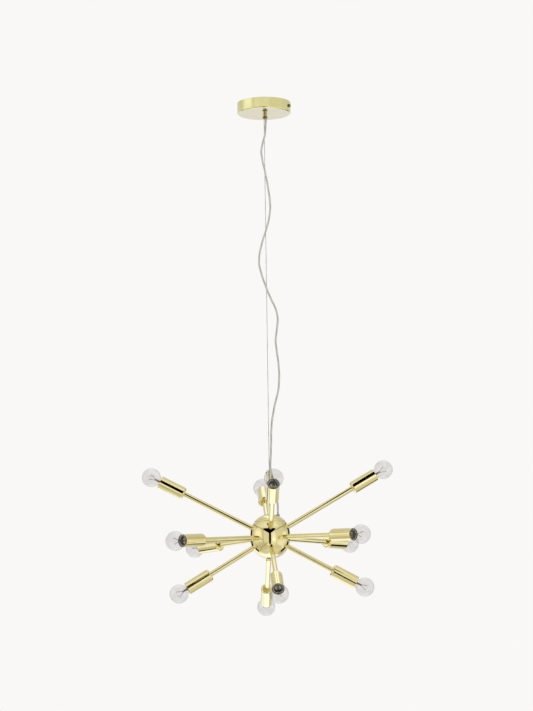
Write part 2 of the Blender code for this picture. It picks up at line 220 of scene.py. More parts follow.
def rounded(corners, steps=8, closed=False):
    """A profile from (r, z) or (r, z, corner radius). Long straight runs get a point near each end."""
    points = []
    for i, (r, z, *turn) in enumerate(corners):
        here = Vector((r, z))
        if not turn:
            points.append(here)
            continue
        a = (Vector(corners[i - 1][:2]) - here).normalized()
        b = (Vector(corners[(i + 1) % len(corners)][:2]) - here).normalized()
        half = a.angle(b) / 2
        centre = here + (a + b).normalized() * (turn[0] / math.sin(half))
        u = here + a * (turn[0] / math.tan(half)) - centre
        v = here + b * (turn[0] / math.tan(half)) - centre
        sweep = u.angle(v)
        for k in range(steps + 1):
            t = k / steps
            swung = u * math.sin((1 - t) * sweep) + v * math.sin(t * sweep)
            points.append(centre + swung / math.sin(sweep))
    near = 0.00012
    held = []
    for i, a in enumerate(points):
        held.append(a)
        if i + 1 == len(points) and not closed:
            break
        b = points[(i + 1) % len(points)]
        if (b - a).length > 8 * near:
            held.append(a + (b - a).normalized() * near)
            held.append(b - (b - a).normalized() * near)
    return [(p.x, p.y) for p in held]


class Shape:
    """Collects closed bodies, each with a material slot, and makes one mesh of them."""

    def __init__(self):
        self.points, self.faces, self.slots, self.marks = [], [], [], []

    def add(self, points, faces, slot=0, marks=None):
        start = len(self.points)
        self.points += points
        self.faces += [tuple(start + i for i in face) for face in faces]
        self.slots += [slot] * len(faces)
        self.marks += marks or [(0.0, 0.0)] * len(points)
        return self

    def turned(self, profile, sides, slot=0, closed=False, bend=None):
        """A profile of (r, z) turned about Z. bend(r, z, angle) may change a point's radius."""
        points, faces, rings = [], [], []
        for r, z in profile:
            if r < 1e-9:
                rings.append([len(points)] * sides)
                points.append(Vector((0.0, 0.0, z)))
                continue
            rings.append([len(points) + i for i in range(sides)])
            for i in range(sides):
                a = math.tau * i / sides
                out = bend(r, z, a) if bend else r
                points.append(Vector((out * math.cos(a), out * math.sin(a), z)))
        pairs = list(zip(rings, rings[1:])) + ([(rings[-1], rings[0])] if closed else [])
        for low, high in pairs:
            for i in range(sides):
                k = (i + 1) % sides
                face = list(dict.fromkeys((low[i], low[k], high[k], high[i])))
                if len(face) > 2:
                    faces.append(face)
        return self.add(points, faces, slot)

    def tube(self, route, radius, sides, slot=0):
        """A round tube with flat ends along a route of points."""
        points, faces, marks, run = [], [], [], 0.0
        heading = (route[1] - route[0]).normalized()
        side = heading.orthogonal().normalized()
        for i, here in enumerate(route):
            before, after = route[max(i - 1, 0)], route[min(i + 1, len(route) - 1)]
            heading = (after - before).normalized()
            side = (side - heading * side.dot(heading)).normalized()
            other = heading.cross(side)
            run += (here - before).length if i else 0.0
            for k in range(sides):
                a = math.tau * k / sides
                points.append(here + (side * math.cos(a) + other * math.sin(a)) * radius)
                marks.append((run, k / sides))
        for i in range(len(route) - 1):
            for k in range(sides):
                j = (k + 1) % sides
                faces.append((i * sides + k, i * sides + j, (i + 1) * sides + j, (i + 1) * sides + k))
        last = (len(route) - 1) * sides
        faces += [tuple(range(sides)), tuple(last + k for k in range(sides))]
        return self.add(points, faces, slot, marks)

    def mesh(self, name, finishes, crease=32):
        made = bpy.data.meshes.new(name)
        made.from_pydata(self.points, [], self.faces)
        made.polygons.foreach_set("material_index", self.slots)
        for finish in finishes:
            made.materials.append(finish)
        shape = bmesh.new()
        shape.from_mesh(made)
        bmesh.ops.recalc_face_normals(shape, faces=shape.faces)
        shape.to_mesh(made)
        shape.free()
        made.shade_smooth()
        made.set_sharp_from_angle(angle=math.radians(crease))
        for index, mark in enumerate(("along", "around")):
            if any(m[index] for m in self.marks):
                layer = made.attributes.new(mark, "FLOAT", "POINT")
                layer.data.foreach_set("value", [m[index] for m in self.marks])
        return made


def piece(name, mesh, body, slot, *nodes, matrix=None):
    """A shown piece that rides on a body and stands for CAD nodes. Its slot is not used."""
    ob = bpy.data.objects.new(name, mesh)
    bpy.context.scene.collection.objects.link(ob)
    if matrix:
        ob.matrix_world = matrix
    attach(ob, body)
    if nodes:
        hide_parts(*nodes)


def drilled(mesh, *drills):
    """The mesh with round holes. A drill is (radius, depth, frame)."""
    ob = bpy.data.objects.new("drilled", mesh)
    bpy.context.scene.collection.objects.link(ob)
    tools = []
    for radius, depth, matrix in drills:
        cut = bpy.data.meshes.new("drill")
        shape = bmesh.new()
        bmesh.ops.create_cone(
            shape, cap_ends=True, segments=48, radius1=radius, radius2=radius, depth=depth, matrix=matrix
        )
        shape.to_mesh(cut)
        shape.free()
        tool = bpy.data.objects.new("drill", cut)
        bpy.context.scene.collection.objects.link(tool)
        modifier = ob.modifiers.new("drill", "BOOLEAN")
        modifier.solver = "EXACT"
        modifier.object = tool
        tools.append(tool)
    graph = bpy.context.evaluated_depsgraph_get()
    made = bpy.data.meshes.new_from_object(ob.evaluated_get(graph), depsgraph=graph)
    for old in (ob, *tools):
        bpy.data.objects.remove(old)
    return made


# ---- materials --------------------------------------------------------------------------------


class Nodes:
    """Adds nodes to a tree. An input is a number, a tuple or another node's output."""

    def __init__(self, tree):
        self.tree = tree
        tree.nodes.clear()

    def add(self, kind, inputs, **settings):
        made = self.tree.nodes.new(kind)
        for key, value in settings.items():
            setattr(made, key, value)
        for key, value in inputs.items():
            if isinstance(value, bpy.types.NodeSocket):
                self.tree.links.new(value, made.inputs[key])
            else:
                made.inputs[key].default_value = value
        return made

    def maths(self, operation, *values):
        return self.add("ShaderNodeMath", dict(enumerate(values)), operation=operation).outputs[0]

    def spread(self, value, low, high, to_low=0.0, to_high=1.0):
        inputs = {0: value, 1: low, 2: high, 3: to_low, 4: to_high}
        return self.add("ShaderNodeMapRange", inputs, interpolation_type="SMOOTHSTEP").outputs[0]

    def mix(self, share, a, b):
        a = (*a, 1.0) if isinstance(a, tuple) and len(a) == 3 else a
        b = (*b, 1.0) if isinstance(b, tuple) and len(b) == 3 else b
        return self.add("ShaderNodeMix", {0: share, 6: a, 7: b}, data_type="RGBA").outputs[2]

    def place(self, scale=(1.0, 1.0, 1.0)):
        here = self.add("ShaderNodeTexCoord", {}).outputs["Object"]
        return self.add("ShaderNodeMapping", {"Vector": here, "Scale": scale}).outputs[0]

    def noise(self, place, scale, detail):
        return self.add("ShaderNodeTexNoise", {"Vector": place, "Scale": scale, "Detail": detail}).outputs[0]

    def bump(self, height, strength, distance):
        inputs = {"Height": height, "Strength": strength, "Distance": distance}
        return self.add("ShaderNodeBump", inputs).outputs[0]


def new_material(name):
    made = bpy.data.materials.new(name)
    made.use_nodes = True
    return made, Nodes(made.node_tree)


def finish_with(nodes, shader):
    nodes.add("ShaderNodeOutputMaterial", {"Surface": shader.outputs[0]})


def metal(name, colour, roughness, drift=0.05, rings=0.03, lacquer=0.0):
    """Turned metal: slow drifts of tone and gloss, and fine rings left round the axis by the polishing."""
    made, nodes = new_material(name)
    tone = nodes.noise(nodes.place(), 35.0, 3.0)
    gloss = nodes.noise(nodes.place(), 110.0, 4.0)
    marks = nodes.noise(nodes.place((60.0, 60.0, 1500.0)), 1.0, 3.0)
    dull = tuple(c * (1 - drift) * fade for c, fade in zip(colour, (1.0, 0.985, 0.93)))
    shader = nodes.add("ShaderNodeBsdfPrincipled", {
        "Base Color": nodes.mix(nodes.spread(tone, 0.35, 0.65), dull, colour),
        "Metallic": 1.0,
        "Roughness": nodes.spread(gloss, 0.3, 0.7, roughness * 0.75, roughness * 1.3),
        "Normal": nodes.bump(marks, rings, 0.0001),
        "Coat Weight": lacquer,
        "Coat Roughness": 0.03,
    })
    finish_with(nodes, shader)
    return made


def plastic(name, colour, roughness):
    """Moulded plastic: a slight drift of tone and a fine moulded grain."""
    made, nodes = new_material(name)
    tone = nodes.noise(nodes.place(), 90.0, 3.0)
    skin = nodes.noise(nodes.place(), 1400.0, 2.0)
    light = tuple(min(1.0, c * 1.35 + 0.004) for c in colour)
    shader = nodes.add("ShaderNodeBsdfPrincipled", {
        "Base Color": nodes.mix(nodes.spread(tone, 0.3, 0.7), colour, light),
        "Roughness": nodes.spread(skin, 0.3, 0.7, roughness * 0.85, roughness * 1.2),
        "Normal": nodes.bump(skin, 0.15, 0.00008),
    })
    finish_with(nodes, shader)
    return made


def zinc(name, colour, roughness):
    """Zinc-plated steel: a fine crystalline mottle and rubbed bright spots."""
    made, nodes = new_material(name)
    cells = nodes.add("ShaderNodeTexVoronoi", {"Vector": nodes.place(), "Scale": 420.0}).outputs["Color"]
    rub = nodes.noise(nodes.place(), 60.0, 4.0)
    dark = tuple(c * 0.82 for c in colour)
    shader = nodes.add("ShaderNodeBsdfPrincipled", {
        "Base Color": nodes.mix(nodes.spread(cells, 0.2, 0.8), dark, colour),
        "Metallic": 1.0,
        "Roughness": nodes.spread(rub, 0.3, 0.7, roughness * 0.8, roughness * 1.25),
        "Normal": nodes.bump(rub, 0.2, 0.0003),
    })
    finish_with(nodes, shader)
    return made


def sheathed(name, clear, core):
    """A clear sheath over two twisted cores: a pale edge stripe that winds along the cord."""
    made, nodes = new_material(name)
    run = nodes.add("ShaderNodeAttribute", {}, attribute_name="along").outputs["Fac"]
    round_ = nodes.add("ShaderNodeAttribute", {}, attribute_name="around").outputs["Fac"]
    advance = nodes.maths("MULTIPLY", run, math.tau / CORD_TWIST)
    turn = nodes.maths("MULTIPLY", round_, 2 * math.tau)
    wave = nodes.maths("SINE", nodes.maths("ADD", advance, turn))
    dust = nodes.noise(nodes.place(), 300.0, 3.0)
    stripe = nodes.spread(wave, -0.5, 0.5)
    shader = nodes.add("ShaderNodeBsdfPrincipled", {
        "Base Color": nodes.mix(stripe, core, clear),
        "Roughness": nodes.spread(dust, 0.3, 0.7, 0.22, 0.34),
        "Normal": nodes.bump(wave, 0.15, 0.0002),
        "Coat Weight": 0.6,
        "Coat Roughness": 0.08,
    })
    finish_with(nodes, shader)
    return made


def thin_glass(name, face, edge):
    """Blown glass: clearest face on, greyer and more mirror-like at its edges, and faintly wavy."""
    made, nodes = new_material(name)
    facing = nodes.add("ShaderNodeLayerWeight", {"Blend": 0.5}).outputs["Facing"]
    grazing = nodes.maths("POWER", facing, 5.0)
    wavy = nodes.bump(nodes.noise(nodes.place(), 90.0, 2.0), 0.12, 0.001)
    streaks = nodes.spread(nodes.noise(nodes.place((1.0, 1.0, 0.5)), 75.0, 3.0), 0.35, 0.65)
    wave = 0.035
    pane = nodes.mix(streaks, tuple(c - wave for c in face), tuple(min(1.0, c + wave) for c in face))
    tint = nodes.mix(nodes.maths("POWER", facing, 8.0), pane, edge)
    through = nodes.add("ShaderNodeBsdfTransparent", {"Color": tint})
    mirror = nodes.add("ShaderNodeBsdfGlossy", {"Color": (1, 1, 1, 1), "Roughness": 0.02, "Normal": wavy})
    share = nodes.maths("MULTIPLY_ADD", grazing, 0.5, 0.04)
    shader = nodes.add("ShaderNodeMixShader", {0: share, 1: through.outputs[0], 2: mirror.outputs[0]})
    finish_with(nodes, shader)
    return made


def painted(name, colour, roughness, glow):
    """A stage paint with a faint mottle, on the upper side of a sheet that can't be seen from below."""
    made, nodes = new_material(name)
    tone = nodes.noise(nodes.place(), 1.5, 3.0)
    light = tuple(min(1.0, c * 1.02) for c in colour)
    shader = nodes.add("ShaderNodeBsdfPrincipled", {
        "Base Color": nodes.mix(tone, colour, light), "Roughness": roughness,
        "Emission Color": (1.0, 0.99, 0.97, 1.0), "Emission Strength": glow,
    })
    unseen = nodes.add("ShaderNodeBsdfTransparent", {})
    behind = nodes.add("ShaderNodeNewGeometry", {}).outputs["Backfacing"]
    shown = nodes.add("ShaderNodeMixShader", {0: behind, 1: shader.outputs[0], 2: unseen.outputs[0]})
    finish_with(nodes, shown)
    return made


def glowing(name, colour):
    """A studio card that gives off an even light, or none."""
    made, nodes = new_material(name)
    finish_with(nodes, nodes.add("ShaderNodeEmission", {"Color": (*colour, 1.0), "Strength": 1.0}))
    return made


# ---- camera, studio ---------------------------------------------------------------------------


def make_camera():
    level = Vector((-math.sin(CAMERA_BEARING), -math.cos(CAMERA_BEARING), 0.0))
    stand = HUB + level * CAMERA_AWAY - Vector((0, 0, CAMERA_BELOW_HUB))
    forward = Vector((
        math.cos(CAMERA_PITCH) * math.sin(CAMERA_HEADING),
        math.cos(CAMERA_PITCH) * math.cos(CAMERA_HEADING),
        math.sin(CAMERA_PITCH),
    ))
    right = Vector((math.cos(CAMERA_HEADING), -math.sin(CAMERA_HEADING), 0.0))
    up = right.cross(forward)
    x = right * math.cos(CAMERA_ROLL) - up * math.sin(CAMERA_ROLL)
    y = right * math.sin(CAMERA_ROLL) + up * math.cos(CAMERA_ROLL)
    data = bpy.data.cameras.new("camera")
    data.sensor_width = SENSOR
    data.lens = CAMERA_LENS
    data.clip_start, data.clip_end = 0.1, 200.0
    camera = bpy.data.objects.new("camera", data)
    camera.matrix_world = Matrix.Translation(stand) @ Matrix((x, y, -forward)).transposed().to_4x4()
    bpy.context.scene.collection.objects.link(camera)
    bpy.context.scene.camera = camera


# Soft areas of the far walls, ceiling and floor that the brass mirrors: bearing from the front and half
# width, lowest and highest rise, softness (degrees), brightness
WALLS = [
    (180, 72, -44, 70, 14, 0.70),
    (62, 42, 8, 60, 10, 0.77),
    (112, 24, 16, 42, 8, 0.62),
    (88, 13, -6, 8, 5, 1.08),
    (-78, 20, -3, 15, 14, 1.24),
    (-50, 6, 12, 32, 7, 0.70),
    (18, 10, -22, 2, 6, 1.45),
    (66, 24, -32, -7, 8, 1.06),
    (-65, 46, -58, -20, 9, 0.66),
    (0, 26, -38, -12, 8, 1.00),
    (45, 24, -54, -36, 7, 0.76),
    (122, 20, -56, -32, 7, 0.54),
    (-150, 26, -62, -14, 9, 1.12),
    (98, 9, -36, -24, 4, 1.10),
    (180, 16, -30, 12, 8, 0.82),
    (180, 42, -88, -50, 8, 1.65),
    (180, 24, 48, 80, 8, 1.30),
    (0, 60, 36, 62, 9, 0.98),
    (12, 30, -70, -54, 8, 0.98),
]


def make_studio():
    """A plain backdrop for the camera, and a soft pale room for reflections and shade."""
    world = bpy.data.worlds.new("studio")
    bpy.context.scene.world = world
    world.use_nodes = True
    nodes = Nodes(world.node_tree)
    ray = nodes.add("ShaderNodeTexCoord", {}).outputs["Generated"]
    parts = nodes.add("ShaderNodeSeparateXYZ", {0: ray}).outputs
    front = nodes.maths("MULTIPLY", parts[1], -1.0)
    bearing = nodes.maths("MULTIPLY", nodes.maths("ARCTAN2", parts[0], front), math.degrees(1))
    rise = nodes.maths("MULTIPLY", nodes.maths("ARCSINE", parts[2]), math.degrees(1))
    tone = nodes.spread(rise, -70.0, 30.0, 0.80, 0.88)
    for centre, half, low, high, soft, value in WALLS:
        off = nodes.maths("WRAP", nodes.maths("SUBTRACT", bearing, float(centre)), 180.0, -180.0)
        side = nodes.spread(nodes.maths("ABSOLUTE", off), half - soft, half + soft, 1.0, 0.0)
        above = nodes.spread(rise, low - soft, low + soft)
        below = nodes.spread(rise, high - soft, high + soft, 1.0, 0.0)
        share = nodes.maths("MULTIPLY", nodes.maths("MULTIPLY", side, above), below)
        gap = nodes.maths("SUBTRACT", value, tone)
        tone = nodes.maths("MULTIPLY_ADD", share, gap, tone)
    green = nodes.maths("MULTIPLY", nodes.maths("POWER", tone, 1.10), 1.05)
    shade = nodes.maths("POWER", nodes.maths("MINIMUM", tone, 1.0), 0.25)
    blue = nodes.maths("MULTIPLY", nodes.maths("MULTIPLY", nodes.maths("POWER", tone, 1.2), shade), 1.16)
    light = nodes.add("ShaderNodeCombineColor", {0: tone, 1: green, 2: blue}).outputs[0]
    room = nodes.add("ShaderNodeBackground", {"Color": light})
    plain = nodes.add("ShaderNodeBackground", {"Color": (*BACKGROUND, 1.0)})
    seen = nodes.add("ShaderNodeLightPath", {}).outputs["Is Camera Ray"]
    both = nodes.add("ShaderNodeMixShader", {0: seen, 1: room.outputs[0], 2: plain.outputs[0]})
    nodes.add("ShaderNodeOutputWorld", {"Surface": both.outputs[0]})
    bpy.context.scene.view_settings.view_transform = "Standard"


# Cards that show only in reflections: name, distance from the hub, colour, and columns in order of bearing as
# (bearing from the front, lowest rise, highest rise) in degrees
BLACK, LINE = (0.0, 0.0, 0.0), (0.32, 0.30, 0.22)
CARDS = [
    ("front_gap", 1.5, BLACK, ((-47, 25, 27), (-37, 18, 30.5), (-22, 10, 31), (-11, 4, 31.5), (1, 4, 31.5),
                               (12, 12, 31), (25, 20, 30.5), (30, 26, 28))),
    ("front_bridge", 1.5, BLACK, ((-14, 31, 38), (11, 31, 38))),
    ("front_top", 3.0, BLACK, ((-30, 54, 60), (-20, 48, 62), (-14, 36, 62), (11, 36, 56))),
    ("front_slit", 3.0, BLACK, ((-10.5, -33, 5), (2.0, -33, 5))),
    ("left_slit", 1.5, BLACK, ((-149, -16, 13), (-127, -16, 13))),
    ("left_low_slit", 1.5, BLACK, ((-132, -43, -21), (-114, -43, -21))),
    ("right_slit", 1.5, BLACK, ((121, -2, 19), (145, -2, 19))),
    ("right_mid_slit", 1.5, BLACK, ((113, -21, -5), (131, -21, -5))),
    ("right_low_slit", 1.5, BLACK, ((104, -46, -19), (123, -46, -19))),
    ("corner_left", 1.5, LINE, ((-146, 21, 24), (-118, 28, 31), (-91, 30, 33), (-68, 27.5, 30.5),
                                (-46, 22, 25))),
    ("corner_right", 1.5, LINE, ((30, 17.5, 20.5), (61, 28.5, 32), (105, 28, 31.5), (153, 18, 22))),
    ("corner_upright", 1.5, LINE, ((-45.5, -26, 20), (-42.5, -26, 20))),
    ("corner_floor", 1.5, LINE, ((-109, -48, -45.5), (-72, -43, -40.5), (-38, -34.5, -31.5),
                                 (-11, -18.5, -15.5))),
    ("back_wall", 4.0, (0.815, 0.81, 0.89), ((150, -10, 12), (165, -12, 14), (180, -12, 14), (195, -12, 14),
                                            (210, -10, 12))),
]


def make_cards():
    for name, away, colour, columns in CARDS:
        mesh = bpy.data.meshes.new(name)
        points = [HUB + towards(bearing, rise) * away for bearing, *rises in columns for rise in rises]
        faces = [(k, k + 1, k + 3, k + 2) for k in range(0, len(points) - 2, 2)]
        mesh.from_pydata(points, [], faces)
        mesh.materials.append(glowing(name, colour))
        card = bpy.data.objects.new(name, mesh)
        bpy.context.scene.collection.objects.link(card)
        card.visible_camera = card.visible_diffuse = card.visible_shadow = False
        card.visible_transmission = card.visible_volume_scatter = False


def make_floor():
    mesh = bpy.data.meshes.new("floor")
    shape = bmesh.new()
    bmesh.ops.create_circle(shape, cap_ends=True, segments=96, radius=FLOOR_R)
    shape.to_mesh(mesh)
    shape.free()
    mesh.materials.append(painted("floor_paint", (0.90, 0.87, 0.81), 0.7, glow=0.13))
    floor = bpy.data.objects.new("floor", mesh)
    floor.location.z = FLOOR_Z
    floor.visible_glossy = False
    bpy.context.scene.collection.objects.link(floor)


# ---- cord -------------------------------------------------------------------------------------


def smooth_route(knots, spacing):
    """Points at about this spacing on a smooth curve through the given ones."""
    knots = [2 * knots[0] - knots[1], *knots, 2 * knots[-1] - knots[-2]]
    fine = []
    for a, b, c, d in zip(knots, knots[1:], knots[2:], knots[3:]):
        for step in range(24):
            t = step / 24
            curve = 2 * a - 5 * b + 4 * c - d
            fine.append(0.5 * (2 * b + (c - a) * t + curve * t**2 + (3 * b - a - 3 * c + d) * t**3))
    fine.append(knots[-2])
    runs = [0.0]
    for a, b in zip(fine, fine[1:]):
        runs.append(runs[-1] + (b - a).length)
    count, at, route = round(runs[-1] / spacing), 0, []
    for i in range(count + 1):
        wanted = runs[-1] * i / count
        while at < len(runs) - 2 and runs[at + 1] < wanted:
            at += 1
        share = (wanted - runs[at]) / (runs[at + 1] - runs[at])
        route.append(fine[at].lerp(fine[at + 1], share))
    return route


def make_cord():
    """The cord, from inside the gland to inside the hub's bush."""
    knots = [HUB + Vector(p) * 0.001 for p in CORD_ROUTE]
    exit_ = knots[0].copy()
    in_gland = Vector((0.0040, 0.0003, exit_.z + 0.0035))
    in_bush = knots[-1] - Vector((0, 0, 0.0045))
    route = [in_gland, *smooth_route(knots, CORD_STEP), in_bush]
    mesh = Shape().tube(route, CORD_R, 20).mesh("power_cord_sheath", [CORD])
    cord = bpy.data.objects.new("power_cord_sheath", mesh)
    bpy.context.scene.collection.objects.link(cord)
    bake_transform(cord)
    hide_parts("power_cord")


# ---- canopy and suspension --------------------------------------------------------------------


def knurled(r, z, angle):
    """Cuts shallow grooves round a screw head's rim."""
    return r * (1 - 0.035 * abs(math.sin(16 * angle))) if r > SCREW_FACE_R else r


def make_canopy():
    """The canopy's shell with its holes for the gland and the side screw, and that screw."""
    floor, inner = -CANOPY_H, CANOPY_R - CANOPY_WALL
    shell = Shape().turned(rounded([
        (0.0, floor + CANOPY_WALL),
        (inner, floor + CANOPY_WALL, 0.0016),
        (inner, CANOPY_TOP),
        (CANOPY_R, CANOPY_TOP, 0.0004),
        (CANOPY_R, floor, 0.0034),
        (0.0, floor),
    ]), 160).mesh("canopy_shell", [CANOPY_BRASS])
    low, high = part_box("canopy_side_screw")
    out = ((low + high) / 2).xy.to_3d().normalized()
    level = Vector((0, 0, (low.z + high.z) / 2))
    shell = drilled(
        shell,
        (GLAND_R + 0.0004, 0.01, Matrix.Translation((GLAND_X, 0, floor))),
        (0.0026, 0.02, along(out, out * CANOPY_R + level)),
    )
    shell.set_sharp_from_angle(angle=math.radians(32))
    piece("canopy_shell", shell, "canopy", "canopy_brass", "canopy_cup")

    far, near, end = CANOPY_R + SCREW_STANDS_OUT, CANOPY_R + 0.0004, CANOPY_R - SCREW_REACHES_IN
    screw = Shape().turned(rounded([
        (0.0, far), (SCREW_HEAD_R, far, 0.0006), (SCREW_HEAD_R, near, 0.0004), (SCREW_SHANK_R, near),
        (SCREW_SHANK_R, end), (0.0, end),
    ], steps=4), 96, bend=knurled)
    piece("canopy_thumb_screw", screw.mesh("canopy_thumb_screw", [DARK_BRASS]), "canopy", "dark_brass",
          "canopy_side_screw", matrix=along(out, level))


def make_gland():
    """The gland's threaded tube with its lock ring, and the dark mouth ring under it."""
    floor, top, ring = -CANOPY_H + CANOPY_WALL, -CANOPY_H + GLAND_RISE, GLAND_MOUTH + MOUTH_RING_HEIGHT
    lock_high, lock_low = floor + LOCK_RING_TOP, floor + SNUG
    tube = Shape().turned(rounded([
        (GLAND_BORE, top), (GLAND_R, top, 0.0003), (GLAND_R, lock_high), (LOCK_RING_R, lock_high, 0.0004),
        (LOCK_RING_R, lock_low), (GLAND_R, lock_low), (GLAND_R, ring), (GLAND_BORE, ring),
    ], steps=4, closed=True), 64, closed=True)
    place = Matrix.Translation((GLAND_X, 0, 0))
    piece("gland_tube", tube.mesh("gland_tube", [GLAND_BRASS]), "canopy", "gland_brass", "canopy_gland",
          matrix=place)
    mouth = Shape().turned(rounded([
        (GLAND_BORE, ring - 0.0001), (MOUTH_RING_R, ring - 0.0001, 0.0006),
        (MOUTH_RING_R, GLAND_MOUTH, 0.0010), (GLAND_BORE, GLAND_MOUTH, 0.0004),
    ], steps=5, closed=True), 64, closed=True)
    piece("gland_mouth", mouth.mesh("gland_mouth", [GLAND_DARK]), "canopy", "dark_plastic", matrix=place)


def make_wire():
    """A seven-wire steel strand with a ball pressed on its upper end."""
    low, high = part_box("wire_swivel")
    radius = (high.z - low.z) / 2
    ball = Shape().turned(arc(radius, 0, 180, 24, (low.z + high.z) / 2), 48)
    piece("wire_ball", ball.mesh("wire_ball", [STEEL]), "swivel", "zinc_steel", "wire_swivel")
    low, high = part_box("suspension_wire")
    strand, fine = Shape(), WIRE_R / 3
    turns = (high.z - low.z) / WIRE_LAY
    steps = round(turns * 10)
    strand.tube([Vector((0, 0, high.z)), Vector((0, 0, low.z))], fine, 6)
    for start in range(6):
        route = []
        for i in range(steps + 1):
            a = math.tau * (turns * i / steps + start / 6)
            z = high.z + (low.z - high.z) * i / steps
            route.append(Vector((2 * fine * math.cos(a), 2 * fine * math.sin(a), z)))
        strand.tube(route, fine, 5)
    piece("steel_strand", strand.mesh("steel_strand", [WIRE], crease=60), "hanger", "wire_steel",
          "suspension_wire")


# ---- hub --------------------------------------------------------------------------------------


def make_hub():
    """Two polished half balls with a straight band between them, parted by a fine seam above it."""
    place = Matrix.Translation(HUB)
    inner = HUB_R - HUB_WALL
    seam = polar(HUB_R, HUB_SEAM, HUB_UPPER)
    ease = math.degrees(SEAM_ROLL / HUB_R)
    edge = arc(HUB_R, seam + ease, 90, 36, HUB_UPPER)
    edge += arc(HUB_R, 90, 180 - polar_r(HUB_R, STUD_HOLE_R), 72, HUB_LOWER)[1:]
    hollow = arc(inner, 180 - polar_r(inner, STUD_HOLE_R), 90, 36, HUB_LOWER)
    hollow += arc(inner, 90, polar(inner, HUB_SEAM, HUB_UPPER), 18, HUB_UPPER)[1:]
    rolled = seam_edge(HUB_UPPER, seam, ease, HUB_SEAM, -1)
    body = Shape().turned(rolled + edge + hollow, 192, closed=True)
    piece("hub_ball", body.mesh("hub_ball", [HUB_BRASS]), "fixture", "hub_brass", "hub_body", matrix=place)

    base = HUB_SEAM + SEAM_GAP
    top = polar(HUB_R, base, HUB_UPPER)
    profile = arc(HUB_R, polar_r(HUB_R, STEM_HOLE_R), top - ease, 36, HUB_UPPER)
    profile += list(reversed(seam_edge(HUB_UPPER, top, ease, base, 1)))
    profile += [(SPIGOT_R, base), (SPIGOT_R, base - SPIGOT_DEPTH), (SPIGOT_INNER_R, base - SPIGOT_DEPTH)]
    profile += arc(inner, polar_r(inner, SPIGOT_INNER_R), polar_r(inner, STEM_HOLE_R), 24, HUB_UPPER)
    lid = Shape().turned(profile, 192, closed=True).mesh("hub_cap", [HUB_BRASS])
    lid = drilled(lid, (BUSH_R + 0.0004, 0.03, Matrix.Translation((BUSH_X, 0, HUB_R))))
    lid.set_sharp_from_angle(angle=math.radians(32))
    piece("hub_cap", lid, "fixture", "hub_brass", "hub_lid", matrix=place)

    bush = Shape().turned(rounded([
        (BUSH_BORE, BUSH_HIGH, 0.0003), (BUSH_R, BUSH_HIGH, 0.0005), (BUSH_R, BUSH_LOW),
        (BUSH_BORE, BUSH_LOW),
    ], steps=5, closed=True), 48, closed=True)
    piece("cord_bush", bush.mesh("cord_bush", [BUSH_PLASTIC]), "fixture", "dark_plastic", "hub_cord_bush",
          matrix=Matrix.Translation(HUB + Vector((BUSH_X, 0, 0))))


def seam_edge(centre, angle, ease, height, side):
    """The rolled edge of a half ball at the seam, from its flat face round to the ball. The side is -1 for
    the lower half and 1 for the upper one."""
    rim = HUB_R * math.sin(math.radians(angle))
    points = []
    for k in range(6):
        t = math.radians(90 * k / 6)
        drop = ease * (1 - math.cos(t))
        radius = HUB_R - SEAM_DEPTH * (1 - math.sin(t))
        a = math.radians(angle - side * drop)
        points.append((radius * math.sin(a), centre + radius * math.cos(a)))
    points.insert(0, (rim - SEAM_DEPTH, height))
    return points


def make_stem():
    """The stem that grips the wire, with its release pin, and the button under the hub."""
    foot, bottom = HUB_UPPER + HUB_R + SNUG, STEM_TOP - 0.0160
    stem = Shape().turned(rounded([
        (0.0, bottom), (STEM_BORE, bottom), (STEM_BORE, STEM_TOP, 0.0004),
        (STEM_R, STEM_TOP, 0.0011), (STEM_R, foot, 0.0003), (STEM_PEG_R, foot), (STEM_PEG_R, foot - STEM_PEG),
        (0.0, foot - STEM_PEG),
    ], steps=6), 80)
    piece("gripper_stem", stem.mesh("gripper_stem", [STEM_BRASS]), "fixture", "stem_brass", "wire_stem",
          matrix=Matrix.Translation(HUB))
    pin = Shape().turned(rounded([
        (0.0, STEM_R - 0.0010), (PIN_R, STEM_R - 0.0010), (PIN_R, STEM_R + 0.0022, 0.0005),
        (0.0, STEM_R + 0.0022),
    ], steps=5), 32)
    at = HUB + Vector((0, 0, STEM_TOP - PIN_BELOW_TOP))
    piece("gripper_pin", pin.mesh("gripper_pin", [DARK_BRASS]), "fixture", "dark_brass",
          matrix=along((-1, 0, 0), at))
    pole = HUB_LOWER - HUB_R
    button = Shape().turned(rounded([
        (0.0, pole + 0.0093), (BUTTON_STUD_R, pole + 0.0093), (BUTTON_STUD_R, pole - 0.0006),
        (BUTTON_R, pole + 0.0006, 0.0006), (BUTTON_R, pole - BUTTON_THICK, 0.0020),
        (0.0, pole - BUTTON_THICK),
    ], steps=7), 96)
    piece("hub_button", button.mesh("hub_button", [HUB_BRASS]), "fixture", "hub_brass", "hub_finial",
          matrix=Matrix.Translation(HUB))


# ---- arms and lamps ---------------------------------------------------------------------------


def cup_shape():
    """A lamp cup: a straight brass tube with a rounded foot round its arm."""
    inner, hole = CUP_R - CUP_WALL, TUBE_R + 0.0004
    return Shape().turned(rounded([
        (inner, CUP_LENGTH, 0.0003), (CUP_R, CUP_LENGTH, 0.0006), (CUP_R, 0.0, 0.0044),
        (hole, 0.0, 0.0003), (hole, CUP_FLOOR), (inner, CUP_FLOOR, 0.0036),
    ], closed=True), 128, closed=True)


def thread(depth, pitch, low, high):
    """Deepens a radius between two heights by a round thread that winds up the piece."""
    def bend(r, z, angle):
        if not low < z < high:
            return r
        fade = min(1.0, (z - low) / pitch, (high - z) / pitch)
        return r - depth * fade * (0.5 - 0.5 * math.cos(math.tau * z / pitch - angle))
    return bend


def ladder(radius, low, high, steps):
    """A straight run of profile points that is fine enough for a thread."""
    return [(radius, low + (high - low) * i / steps) for i in range(steps + 1)]


